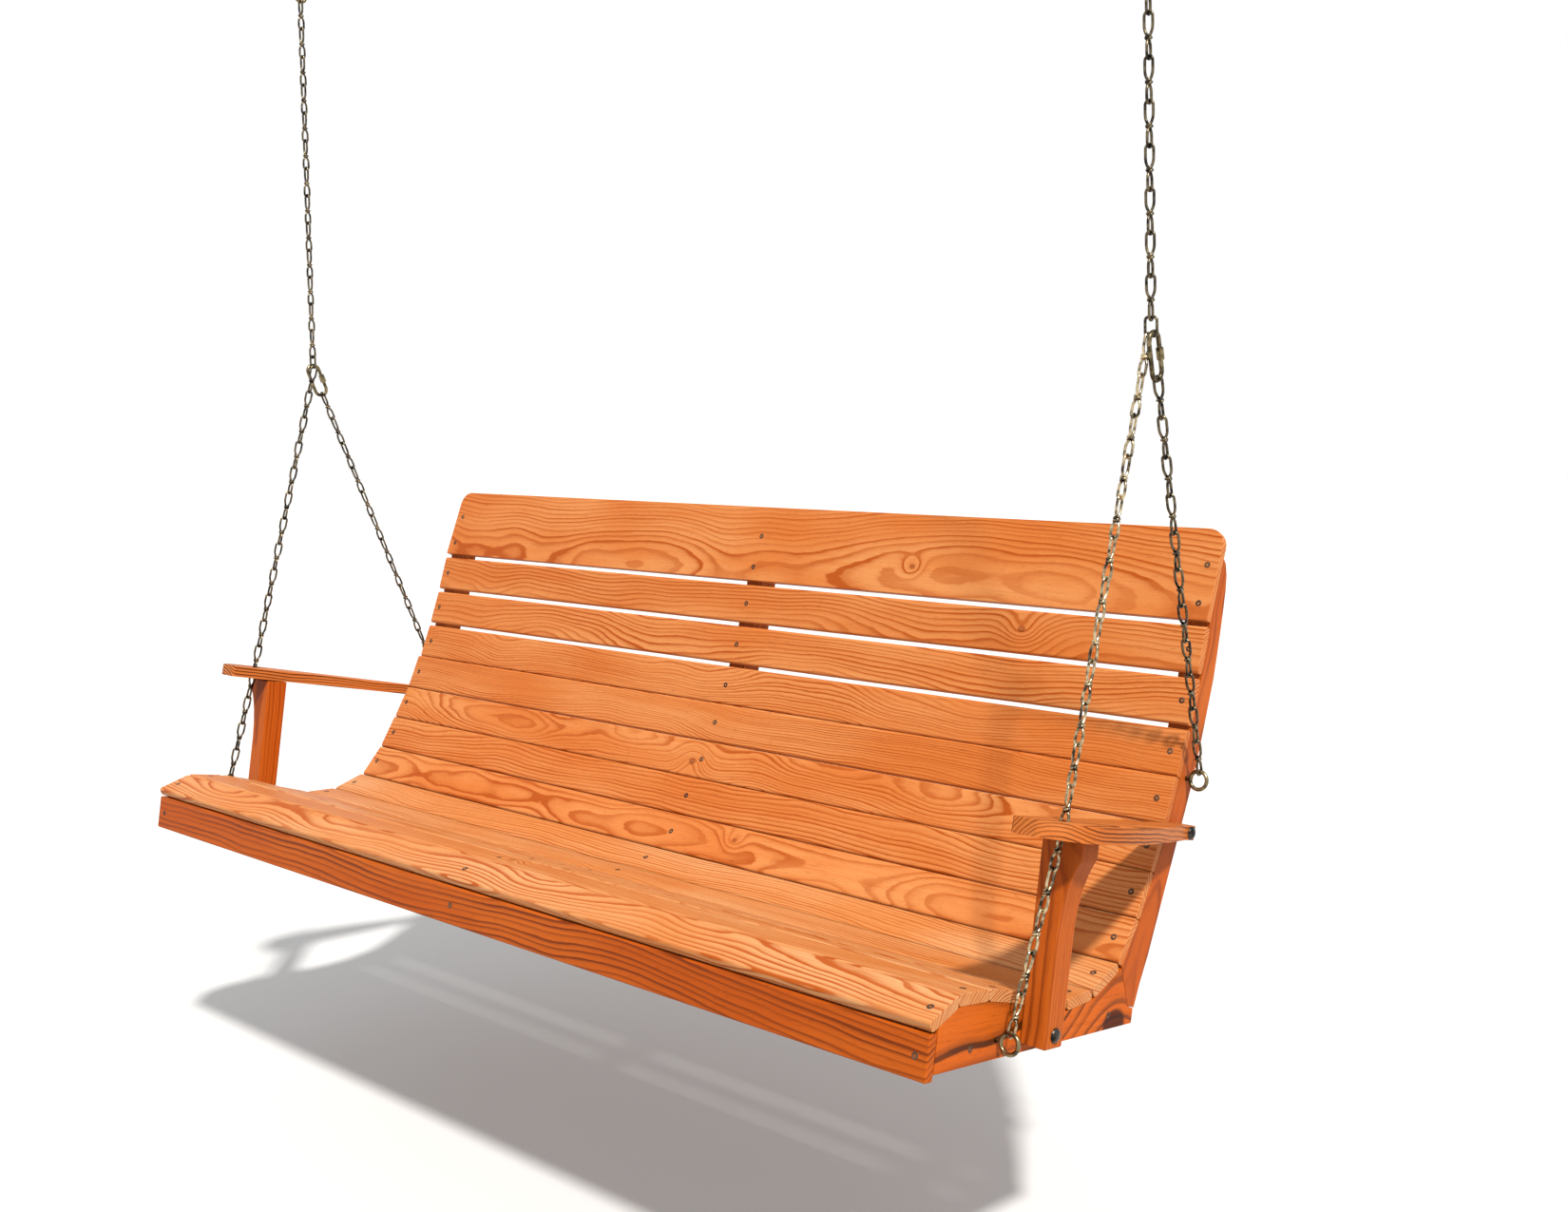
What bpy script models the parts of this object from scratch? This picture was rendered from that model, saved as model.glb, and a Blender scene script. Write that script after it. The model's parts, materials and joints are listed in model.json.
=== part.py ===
"""Porch swing: a slatted bench on two Y-shaped double-loop chains.

Metres, +Z up. X runs along the bench, -Y is the side a person sits down from.
The origin is on the ceiling plane, midway between the two ceiling hangers.
The bench hangs tilted back by BENCH_TILT. Its boards are laid out in a bench
frame (suffix _B below) whose origin is the front crest of the seat, where the
first two slats meet, and whose bottom edge is level.
"""

import math

import bmesh
import bpy
from mathutils import Matrix, Vector

# ---- driving dimensions -------------------------------------------------
GAP = 0.0003                    # clearance left between touching pieces

# chains and their pivots
HANG_X = 0.930                  # ceiling hangers, each side of the middle
PIVOT_Z = -0.032                # rod of the ceiling eye: the swing axis
APEX_X = 0.960                  # where front and rear chains meet
APEX_Z = -0.7720                # axis about which the bench rocks
CHAIN_ROD = 0.0032              # radius of the solid that stands for a run of chain
CHAIN_WIRE = 0.0017             # radius of the chain's wire
LINK_HALF_W = 0.0058            # half width of a link at its wire's middle
LINK_LEN = 0.0235               # length of a link at its wire's middle
APEX_HALF_W = 0.0084            # the widened link at the apex
HOOK_WIRE = 0.0028
QUICK_WIRE = 0.0031

# bench
BENCH_TILT = math.radians(9.9)
CREST = (-0.3225, -0.7675)      # Y and Z of the crest of the seat from the apex
SLAT_LEN = 1.8288
HALF = SLAT_LEN / 2
SEAT_T, BACK_T = 0.0152, 0.0126    # thickness of the seat and back boards
SEAT_W = 0.0592
SLAT_ROUND = 0.0046
SUPPORT_T = 0.0381
SUPPORT_BOTTOM = -0.0900

# seat slats: width, angle in degrees, gap to the next one
SEAT = [
    ("seat_slat_2", 0.0614, -1.2, 0.0024),
    ("seat_slat_3", SEAT_W, -9.0, 0.0014),
    ("seat_slat_4", SEAT_W, -13.5, 0.0014),
    ("seat_slat_5", SEAT_W, -10.5, 0.0014),
    ("seat_slat_6", SEAT_W, 6.5, 0.0014),
    ("seat_slat_7", 0.0650, 27.5, 0.0020),
]
NOSE_W, NOSE_ANGLE = 0.0590, 26.6
# back slats: front face's lower edge, angle from the vertical, width
BACK = [
    ("back_slat_1", (0.3611, 0.0001), 31.0, 0.0688),
    ("back_slat_2", (0.3965, 0.0590), 21.6, 0.0684),
    ("back_slat_3", (0.4225, 0.1225), 20.4, 0.0688),
    ("back_slat_4", (0.4466, 0.1870), 14.4, 0.0700),
    ("back_slat_5", (0.4681, 0.2542), 12.2, 0.0689),
    ("back_slat_6", (0.4835, 0.3278), 10.0, 0.0684),
    ("back_slat_7", (0.4956, 0.4020), 8.0, 0.0690),
]
TOP_BOARD = ((0.5050, 0.4784), 11.6)
TOP_W = 0.1382
TOP_CORNER = 0.0260

APRON = (-0.0495, -0.0352, -0.0985, -0.0410)   # front, rear, bottom, top
ARM_T = 0.0203
ARM_PITCH = math.radians(2.9)
ARM_REAR_TOP = (0.4860, 0.1882)
ARM_REAR_W = 0.0300
# the arm from above: distance out from its inner edge, distance forward of its rear end
ARM_PLAN = [(0.0, 0.0), (0.0260, 0.0), (ARM_REAR_W, 0.0040), (ARM_REAR_W, 0.0290), (0.0435, 0.0760), (0.0585, 0.1300), (0.0725, 0.1860),
            (0.0840, 0.2450), (0.0905, 0.2850), (0.0925, 0.3200), (0.0920, 0.3560), (0.0900, 0.3730), (0.0860, 0.3850),
            (0.0770, 0.3960), (0.0460, 0.4190), (0.0400, 0.4220), (0.0340, 0.4235), (0.0040, 0.4225), (0.0010, 0.4200), (0.0, 0.4170)]
ARM_HOLE_FWD = 0.3610
ARM_HOLE_R = 0.0115
POST_FRONT, POST_REAR = 0.1370, 0.1751
POST_T = 0.0381
POST_BOTTOM = -0.0780
EYE_R, EYE_WIRE = 0.0130, 0.0030
EYE_OUT = 0.0200                # ring centre from the support's outer face
FRONT_EYE = (0.0856, -0.0662)
REAR_EYE = (0.4962, 0.2515)
POST_BOLT = (0.1560, -0.0610)
ARM_BOLT = (0.4708, 0.1789)
BOLT_R = 0.0040

COL = {
    "seat": (0.84, 0.36, 0.13), "back": (0.78, 0.28, 0.07), "apron": (0.62, 0.16, 0.02),
    "frame": (0.72, 0.22, 0.04), "chain": (0.36, 0.32, 0.20), "zinc": (0.62, 0.58, 0.45),
    "bolt": (0.16, 0.15, 0.15), "plate": (0.30, 0.29, 0.28),
}


# ---- scene --------------------------------------------------------------
for old in list(bpy.data.objects):
    bpy.data.objects.remove(old, do_unlink=True)

scene = bpy.context.scene
parts = bpy.data.collections.new("porch_swing")
cutters = bpy.data.collections.new("cutters")
scene.collection.children.link(parts)
scene.collection.children.link(cutters)
cutters.hide_render = False


def empty(name, parent=None, location=(0, 0, 0), rotation=(0, 0, 0)):
    obj = bpy.data.objects.new(name, None)
    obj.empty_display_size = 0.05
    obj.location, obj.rotation_euler, obj.parent = location, rotation, parent
    parts.objects.link(obj)
    return obj


swing_axis = empty("swing_axis", None, (0, 0, PIVOT_Z))
rock_axis = empty("rock_axis", swing_axis, (0, 0, APEX_Z - PIVOT_Z))
bench_frame = empty("bench_frame", rock_axis, (0, CREST[0], CREST[1]), (-BENCH_TILT, 0, 0))


def material(name, colour, roughness, metallic=0.0):
    mat = bpy.data.materials.new(name)
    mat.use_nodes = True
    node = mat.node_tree.nodes["Principled BSDF"]
    node.inputs["Base Color"].default_value = (*colour, 1)
    node.inputs["Roughness"].default_value = roughness
    node.inputs["Metallic"].default_value = metallic
    return mat


def finish(obj, kind, parent=None, smooth=False):
    metal = kind in ("chain", "zinc", "bolt", "plate")
    obj.data.materials.clear()
    obj.data.materials.append(material("M_" + obj.name, COL[kind], 0.35 if metal else 0.55, 0.9 if metal else 0.0))
    obj.parent = parent
    if smooth:
        obj.data.shade_smooth()
        obj.data.set_sharp_from_angle(angle=math.radians(40))
    return obj


def put(obj, collection):
    for col in list(obj.users_collection):
        col.objects.unlink(obj)
    collection.objects.link(obj)
    return obj


def hide(obj, parent):
    put(obj, cutters)
    obj.hide_render = True
    obj.display_type = "WIRE"
    obj.parent = parent
    return obj


def tool(name, obj, parent):
    """A helper solid that a Boolean reads and nothing shows."""
    obj.name = name
    return hide(obj, parent)


def cylinder(name, radius, length, location, axis="X", sides=16):
    turn = {"X": (0, math.pi / 2, 0), "Y": (math.pi / 2, 0, 0), "Z": (0, 0, 0)}[axis]
    bpy.ops.mesh.primitive_cylinder_add(vertices=sides, radius=radius, depth=length, location=location, rotation=turn)
    obj = bpy.context.active_object
    obj.name = name
    return obj


def boolean(obj, other, operation="DIFFERENCE"):
    mod = obj.modifiers.new(operation.lower() + "_" + other.name, "BOOLEAN")
    mod.operation, mod.object, mod.solver = operation, other, "EXACT"
    return mod


def bevel(obj, width, segments=2, angle=30):
    mod = obj.modifiers.new("edges", "BEVEL")
    mod.width, mod.segments, mod.limit_method = width, segments, "ANGLE"
    mod.angle_limit = math.radians(angle)
    mod.use_clamp_overlap = True
    return mod


def baked(curve_obj, name):
    """The curve as a welded mesh with the same place."""
    bpy.context.view_layer.update()
    graph = bpy.context.evaluated_depsgraph_get()
    mesh = bpy.data.meshes.new_from_object(curve_obj.evaluated_get(graph))
    bm = bmesh.new()
    bm.from_mesh(mesh)
    bmesh.ops.remove_doubles(bm, verts=bm.verts, dist=0.00001)
    bmesh.ops.recalc_face_normals(bm, faces=bm.faces)
    bm.to_mesh(mesh)
    bm.free()
    obj = bpy.data.objects.new(name, mesh)
    obj.matrix_world = curve_obj.matrix_world.copy()
    bpy.data.objects.remove(curve_obj, do_unlink=True)
    parts.objects.link(obj)
    return obj


def outline(name, points, thickness):
    """A flat outline in local XY, `thickness` deep and centred on local Z."""
    curve = bpy.data.curves.new(name + "_outline", "CURVE")
    curve.dimensions, curve.fill_mode, curve.extrude = "2D", "BOTH", thickness / 2
    spline = curve.splines.new("POLY")
    spline.points.add(len(points) - 1)
    for point, (u, v) in zip(spline.points, points):
        point.co = (u, v, 0, 1)
    spline.use_cyclic_u = True
    obj = bpy.data.objects.new(name + "_c", curve)
    parts.objects.link(obj)
    return baked(obj, name)


def wire(name, points, radius, cyclic=False, sides=1):
    """A round bar along the points: sides 1 gives 6 flats, 2 gives 8."""
    curve = bpy.data.curves.new(name + "_path", "CURVE")
    curve.dimensions = "3D"
    curve.bevel_depth, curve.bevel_resolution, curve.use_fill_caps = radius, sides, True
    spline = curve.splines.new("POLY")
    spline.points.add(len(points) - 1)
    for point, co in zip(spline.points, points):
        point.co = (*co, 1)
    spline.use_cyclic_u = cyclic
    obj = bpy.data.objects.new(name + "_c", curve)
    parts.objects.link(obj)
    return baked(obj, name)


def stadium(half_w, length, steps=5):
    """Points of an oval of two straights and two half rounds, centred, long side along V."""
    points, straight = [], length / 2 - half_w
    for end in (1, -1):
        for i in range(steps + 1):
            a = math.pi * i / steps
            points.append((end * half_w * math.cos(a), end * (straight + half_w * math.sin(a))))
    return points


def broad(half_w, length, corner, steps=3):
    """Points of a rounded oblong, centred, long side along V."""
    points = []
    for k, (sx, sy) in enumerate(((1, 1), (-1, 1), (-1, -1), (1, -1))):
        for i in range(steps + 1):
            a = math.pi / 2 * (k + i / steps)
            points.append((sx * (half_w - corner) + corner * math.cos(a), sy * (length / 2 - corner) + corner * math.sin(a)))
    return points


def in_frame(points, centre, u, v):
    """2-D points laid in the plane of u and v."""
    u, v = Vector(u).normalized(), Vector(v).normalized()
    return [tuple(Vector(centre) + u * a + v * b) for a, b in points]


# ---- boards -------------------------------------------------------------
SIDEWAYS = (math.pi / 2, 0, math.pi / 2)   # local X, Y, Z to bench Y, Z, X


def slat(name, corner, angle, width, kind):
    """A board along X. `corner` is the lower or front edge of its show face, `angle` its slope from level."""
    a = math.radians(angle)
    thick = SEAT_T if kind == "seat" else BACK_T
    along, normal = Vector((0, math.cos(a), math.sin(a))), Vector((0, -math.sin(a), math.cos(a)))
    centre = Vector((0, *corner)) + along * width / 2 - normal * thick / 2
    section = []
    for k, (sy, sz) in enumerate(((1, 1), (-1, 1), (-1, -1), (1, -1))):
        for n in range(4):
            t = math.pi / 2 * (k + n / 3)
            section.append((sy * (width / 2 - SLAT_ROUND) + SLAT_ROUND * math.cos(t), sz * (thick / 2 - SLAT_ROUND) + SLAT_ROUND * math.sin(t)))
    obj = outline(name, section, SLAT_LEN)
    obj.location = centre
    obj.rotation_euler = (Matrix.Rotation(a, 3, "X") @ Matrix(((0, 0, 1), (1, 0, 0), (0, 1, 0)))).to_euler()
    return finish(obj, kind, bench_frame, True)


def step(corner, angle, width):
    a = math.radians(angle)
    return corner[0] + width * math.cos(a), corner[1] + width * math.sin(a)


def under(corner, angle, depth):
    """The point `depth` below the show face at this corner."""
    a = math.radians(angle)
    return corner[0] + depth * math.sin(a), corner[1] - depth * math.cos(a)


nose = (-NOSE_W * math.cos(math.radians(NOSE_ANGLE)) - 0.0006, -NOSE_W * math.sin(math.radians(NOSE_ANGLE)) - 0.0004)
first_slat = slat("seat_slat_1", nose, NOSE_ANGLE, NOSE_W, "seat")
# its rear edge is mitred against the front edge of the next slat
bpy.ops.mesh.primitive_cube_add(size=1)
mitre = bpy.context.active_object
mitre.name = "crest_mitre"
mitre.data.transform(Matrix.Diagonal((SLAT_LEN + 0.02, 0.04, 0.08, 1)))
mitre.location = (0, 0.02 - 0.0006, 0)
hide(mitre, bench_frame)
boolean(first_slat, mitre)
REST = SEAT_T + GAP
REST_BACK = BACK_T + GAP
crest_line = [under(nose, NOSE_ANGLE, REST), under((0, 0), NOSE_ANGLE, REST)]
corner = (0.0, 0.0)
seat_faces = []
for name, width, angle, gap in SEAT:
    slat(name, corner, angle, width, "seat")
    seat_faces.append((corner, angle, width))
    corner = step(corner, angle, width + gap)
for name, low, lean, width in BACK:
    slat(name, low, 90 - lean, width, "back")


def meet(p, a, q, b):
    """Where the line through p at angle a meets the line through q at angle b, in degrees."""
    a, b = math.radians(a), math.radians(b)
    da, db = (math.cos(a), math.sin(a)), (math.cos(b), math.sin(b))
    cross = da[0] * db[1] - da[1] * db[0]
    t = ((q[0] - p[0]) * db[1] - (q[1] - p[1]) * db[0]) / cross
    return p[0] + t * da[0], p[1] + t * da[1]


# the top board has two well rounded upper corners
low, lean = TOP_BOARD
a = math.radians(90 - lean)
face_pts = []
for cx, sx in ((HALF - TOP_CORNER, 1), (-(HALF - TOP_CORNER), -1)):
    arc = [(cx + sx * TOP_CORNER * math.cos(t), TOP_W - TOP_CORNER + TOP_CORNER * math.sin(t)) for t in [math.pi / 2 * i / 6 for i in range(7)]]
    face_pts += arc if sx > 0 else arc[::-1]
board_pts = [(-HALF, 0), (HALF, 0)] + face_pts
top = outline("top_board", board_pts, BACK_T)
along, normal = Vector((0, math.cos(a), math.sin(a))), Vector((0, -math.sin(a), math.cos(a)))
top.location, top.rotation_euler = Vector((0, *low)) - normal * BACK_T / 2, (a, 0, 0)
bevel(top, 0.0032, 2, 50)
finish(top, "back", bench_frame, True)

# front apron, a little lower than the supports
front, rear, bottom, upper = APRON
bpy.ops.mesh.primitive_cube_add(size=1)
apron = bpy.context.active_object
apron.name = "front_apron"
apron.data.transform(Matrix.Diagonal((SLAT_LEN, rear - front, upper - bottom, 1)))
apron.location = (0, (front + rear) / 2, (upper + bottom) / 2)
bevel(apron, 0.0016, 1)
put(apron, parts)
finish(apron, "apron", bench_frame, True)

# seat support: level bottom, top cut to carry the slats, rear notched for the back support
top_line = [crest_line[0]]
lines = [(nose, NOSE_ANGLE)] + [(c, g) for c, g, w in seat_faces]
rest_lines = [(under(c, g, REST), g) for c, g in lines]
top_line.append(meet(*rest_lines[0], *rest_lines[1]))
for (c, g, w), (c2, g2, w2) in zip(seat_faces, seat_faces[1:]):
    top_line += [under(step(c, g, w), g, REST), under(c2, g2, REST)]
last_c, last_g, last_w = seat_faces[-1]
JOINT = [(0.3754, -0.0108), (0.4010, -0.0636), (0.4170, -0.0690)]
front_y = rear + GAP
top_line[0] = meet(rest_lines[0][0], NOSE_ANGLE, (front_y, 0), 90)
end_top = meet(rest_lines[-1][0], last_g, JOINT[0], 116)
seat_outline = ([(front_y, SUPPORT_BOTTOM), (0.4165, SUPPORT_BOTTOM), (0.4170, -0.0690 - GAP)]
                + [(JOINT[1][0] - GAP, JOINT[1][1] - GAP)]
                + [(end_top[0] - 2 * GAP, end_top[1])]
                + top_line[:0:-1] + [top_line[0]])

# back support: front edge follows the backs of the slats, rear edge bulges towards the top
back_lines = [(under(low, 90 - lean, REST_BACK), 90 - lean) for n, low, lean, w in BACK]
back_lines.append((under(TOP_BOARD[0], 90 - TOP_BOARD[1], REST_BACK), 90 - TOP_BOARD[1]))
front_edge = [meet(JOINT[0], 116, *back_lines[0])]
backs = [(low, 90 - lean, w) for n, low, lean, w in BACK] + [(TOP_BOARD[0], 90 - TOP_BOARD[1], TOP_W)]
for (c, g, w), (c2, g2, w2) in zip(backs, backs[1:]):
    front_edge += [under(step(c, g, w), g, REST_BACK), under(c2, g2, REST_BACK)]
tip = step(back_lines[-1][0], 90 - TOP_BOARD[1], 0.0967)
REAR_EDGE = [(0.5443, 0.5640), (0.5505, 0.5480), (0.5528, 0.5260), (0.5524, 0.4980), (0.5512, 0.4680),
             (0.5490, 0.4300), (0.5462, 0.3957), (0.5400, 0.3600), (0.5326, 0.3190), (0.5250, 0.2800), (0.5155, 0.2400),
             (0.5050, 0.2040), (0.4960, 0.1760), (0.4434, 0.0022), (0.4285, -0.0365), (0.4190, -0.0690 + GAP)]
back_outline = [(JOINT[1][0] + GAP, JOINT[1][1] + GAP)] + [(front_edge[0][0] + GAP, front_edge[0][1])] + front_edge[1:] + [tip] + REAR_EDGE

SIDES = (("left", -1), ("right", 1))
support_x = {"left": -(HALF - SUPPORT_T / 2), "middle": 0.0, "right": HALF - SUPPORT_T / 2}
seat_supports, back_supports = {}, {}
for side, x in support_x.items():
    for store, label, pts in ((seat_supports, "seat", seat_outline), (back_supports, "back", back_outline)):
        obj = outline(f"{side}_{label}_support", pts, SUPPORT_T)
        obj.location, obj.rotation_euler = (x, 0, 0), SIDEWAYS
        store[side] = finish(obj, "frame", bench_frame)

# ---- arms and posts -----------------------------------------------------
arm_dir = Vector((0, -math.cos(ARM_PITCH), math.sin(ARM_PITCH)))
arm_up = Vector((0, math.sin(ARM_PITCH), math.cos(ARM_PITCH)))
arm_rear = Vector((0, *ARM_REAR_TOP))
INNER = HALF + GAP + 0.0004


def arm_point(forward, depth=0.0):
    """Bench point on the arm's top, `forward` of its rear end and `depth` into the board."""
    p = arm_rear + arm_dir * forward - arm_up * depth
    return p.y, p.z


ARM_HOLE_X = HALF + 0.0370
hole_y, hole_z = arm_point(ARM_HOLE_FWD, ARM_T / 2)

for side, s in SIDES:
    # seen from above, local X outwards and local Y to the rear
    pts = [(u, -v) for u, v in ARM_PLAN]
    pts = [(s * (INNER + u), v) for u, v in pts]
    if s < 0:
        pts = pts[::-1]
    arm = outline(f"{side}_arm", pts, ARM_T)
    arm.location = arm_rear - arm_up * ARM_T / 2
    arm.rotation_euler = (-ARM_PITCH, 0, 0)
    hole = cylinder(f"{side}_arm_chain_hole", ARM_HOLE_R, 0.08, (s * ARM_HOLE_X, hole_y, hole_z), "Z", 20)
    hide(hole, bench_frame)
    hole.rotation_euler = (-ARM_PITCH, 0, 0)
    boolean(arm, hole)
    bolt_way = cylinder(f"{side}_arm_bolt_way", BOLT_R + 0.0004, 0.12, (s * HALF, *ARM_BOLT), "X", 12)
    hide(bolt_way, bench_frame)
    boolean(arm, bolt_way)
    boolean(back_supports[side], bolt_way)
    finish(arm, "frame", bench_frame)

    # arm post: square bar whose outer face flares out under the arm
    top_y = (POST_FRONT + POST_REAR) / 2
    u0 = 0.0
    flare = [(POST_T, POST_BOTTOM), (POST_T, 0.0700), (0.0400, 0.0950), (0.0440, 0.1200), (0.0500, 0.1400), (0.0560, 0.1540), (0.0600, 0.1610)]
    under_arm = lambda y: arm_rear.z + (arm_rear.y - y) * math.tan(ARM_PITCH) - ARM_T / math.cos(ARM_PITCH) - GAP
    cap = under_arm(POST_REAR) - 0.0002
    ppts = [(u0, POST_BOTTOM)] + flare + [(0.0600, cap), (u0, cap)]
    ppts = [(s * (INNER + u), v) for u, v in ppts]
    if s < 0:
        ppts = ppts[::-1]
    post = outline(f"{side}_arm_post", ppts, POST_REAR - POST_FRONT)
    post.location, post.rotation_euler = (0, top_y, 0), (math.pi / 2, 0, 0)
    post_way = cylinder(f"{side}_post_bolt_way", BOLT_R + 0.0004, 0.20, (s * HALF, *POST_BOLT), "X", 12)
    hide(post_way, bench_frame)
    boolean(post, post_way)
    boolean(seat_supports[side], post_way)
    finish(post, "frame", bench_frame)

# ---- bolts, nuts and eye bolts ------------------------------------------


def joined(obj, *others):
    for other in others:
        boolean(obj, hide(other, obj.parent), "UNION")
    return obj


def domed_bolt(name, s, start, length, where):
    """Carriage bolt along X: a dome head at `start`, its shank running inwards."""
    head_r = 0.0096
    rim = [(head_r * math.sin(math.pi / 2 * i / 5), 0.0052 * math.cos(math.pi / 2 * i / 5)) for i in range(6)]
    profile = rim + [(BOLT_R, 0.0), (BOLT_R, -length), (0.0, -length)]
    mesh = bpy.data.meshes.new(name)
    mesh.from_pydata([(r, 0, z) for r, z in profile], [(i, i + 1) for i in range(len(profile) - 1)], [])
    obj = bpy.data.objects.new(name, mesh)
    parts.objects.link(obj)
    mod = obj.modifiers.new("turned", "SCREW")
    mod.steps = mod.render_steps = 14
    mod.use_merge_vertices, mod.merge_threshold = True, 0.00001
    mod.use_normal_calculate = True
    obj.location = (s * start, *where)
    obj.rotation_euler = (0, s * math.pi / 2, 0)
    return finish(obj, "bolt", bench_frame, True)


def nut(name, s, inner_x, where, kind, across=0.0130, thick=0.0065, bore=BOLT_R):
    """Hex nut on a washer, against the inner face of a support."""
    washer = cylinder(name, 0.0092, 0.0016, (s * (inner_x - 0.0008), *where), "X", 18)
    put(washer, parts)
    hexagon = cylinder(name + "_hex", across / math.sqrt(3), thick + 0.0004, (s * (inner_x - 0.0012 - thick / 2), *where), "X", 6)
    hide(hexagon, bench_frame)
    washer.parent = bench_frame
    boolean(washer, hexagon, "UNION")
    way = cylinder(name + "_bore", bore + 0.0003, 0.04, (s * inner_x, *where), "X", 12)
    hide(way, bench_frame)
    boolean(washer, way)
    return finish(washer, kind, bench_frame)


def eye_bolt(name, s, where):
    x = s * (HALF + EYE_OUT)
    bpy.ops.mesh.primitive_torus_add(location=(x, *where), rotation=(math.pi / 2, 0, 0), major_radius=EYE_R, minor_radius=EYE_WIRE,
                                     major_segments=24, minor_segments=8)
    ring = bpy.context.active_object
    ring.name = name
    put(ring, parts)
    near = HALF + EYE_OUT - EYE_R
    inside = HALF - SUPPORT_T - 0.0115
    shank = cylinder(name + "_shank", EYE_WIRE, near - inside, (s * (near + inside) / 2, *where), "X", 10)
    hide(shank, bench_frame)
    ring.parent = bench_frame
    boolean(ring, shank, "UNION")
    return finish(ring, "zinc", bench_frame, True)


for side, s in SIDES:
    domed_bolt(f"{side}_post_bolt", s, INNER + POST_T + GAP, POST_T + SUPPORT_T + 0.0115, POST_BOLT)
    nut(f"{side}_post_nut", s, HALF - SUPPORT_T - GAP, POST_BOLT, "bolt")
    domed_bolt(f"{side}_arm_bolt", s, INNER + ARM_REAR_W + GAP, ARM_REAR_W + SUPPORT_T + 0.0115, ARM_BOLT)
    nut(f"{side}_arm_nut", s, HALF - SUPPORT_T - GAP, ARM_BOLT, "bolt")
    for label, where, store in (("front", FRONT_EYE, seat_supports), ("rear", REAR_EYE, back_supports)):
        eye_bolt(f"{side}_{label}_eye_bolt", s, where)
        nut(f"{side}_{label}_eye_nut", s, HALF - SUPPORT_T - GAP, where, "zinc", 0.0110, 0.0055, EYE_WIRE)
        way = cylinder(f"{side}_{label}_eye_way", EYE_WIRE + 0.0004, 0.08, (s * (HALF - SUPPORT_T / 2), *where), "X", 12)
        hide(way, bench_frame)
        boolean(store[side], way)

# ---- chains -------------------------------------------------------------


def hung(y, z):
    """Y and Z from the ceiling of a bench-frame point."""
    c, s = math.cos(BENCH_TILT), math.sin(BENCH_TILT)
    return y * c + z * s + CREST[0], -y * s + z * c + CREST[1] + APEX_Z


EYE_TOP = Vector((0, math.sin(BENCH_TILT), math.cos(BENCH_TILT))) * EYE_R


def run_of_chain(name, ends, turns, parent_empty, middle=(), wide_end=False):
    """A straight run: an end link at each end, joined by a plain bar that stands for the links between.
    ends are the centres of the end links' outer crowns, turns the direction of each end link's width."""
    stops = [Vector(ends[0]), *[Vector(m) for m in middle], Vector(ends[1])]
    loops = []
    bar = [None, *stops[1:-1], None]
    for k, (crown, nxt) in enumerate(((stops[0], stops[1]), (stops[-1], stops[-2]))):
        away = (nxt - crown).normalized()
        width = Vector(turns[k])
        width = (width - away * width.dot(away)).normalized()
        centre = crown + away * LINK_LEN / 2
        oval = broad(APEX_HALF_W, LINK_LEN, 0.0045) if wide_end and k == 1 else stadium(LINK_HALF_W, LINK_LEN, 6)
        loops.append(wire(f"{name}_end{k}", in_frame(oval, centre, width, away), CHAIN_WIRE, True))
        bar[0 if k == 0 else -1] = crown + away * (LINK_LEN - 0.0011)
    body = wire(name, bar, CHAIN_ROD, False, 2)
    for loop in loops:
        hide(loop, None)
        boolean(body, loop, "UNION")
    for obj in [body, *loops]:
        world = obj.matrix_world.copy()
        obj.parent = parent_empty
        obj.matrix_parent_inverse = parent_empty.matrix_world.inverted()
        obj.matrix_world = world
    body.data.materials.clear()
    body.data.materials.append(material("M_" + name, COL["chain"], 0.35, 0.9))
    body.data.shade_smooth()
    body.data.set_sharp_from_angle(angle=math.radians(40))
    return body


bpy.context.view_layer.update()

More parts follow.
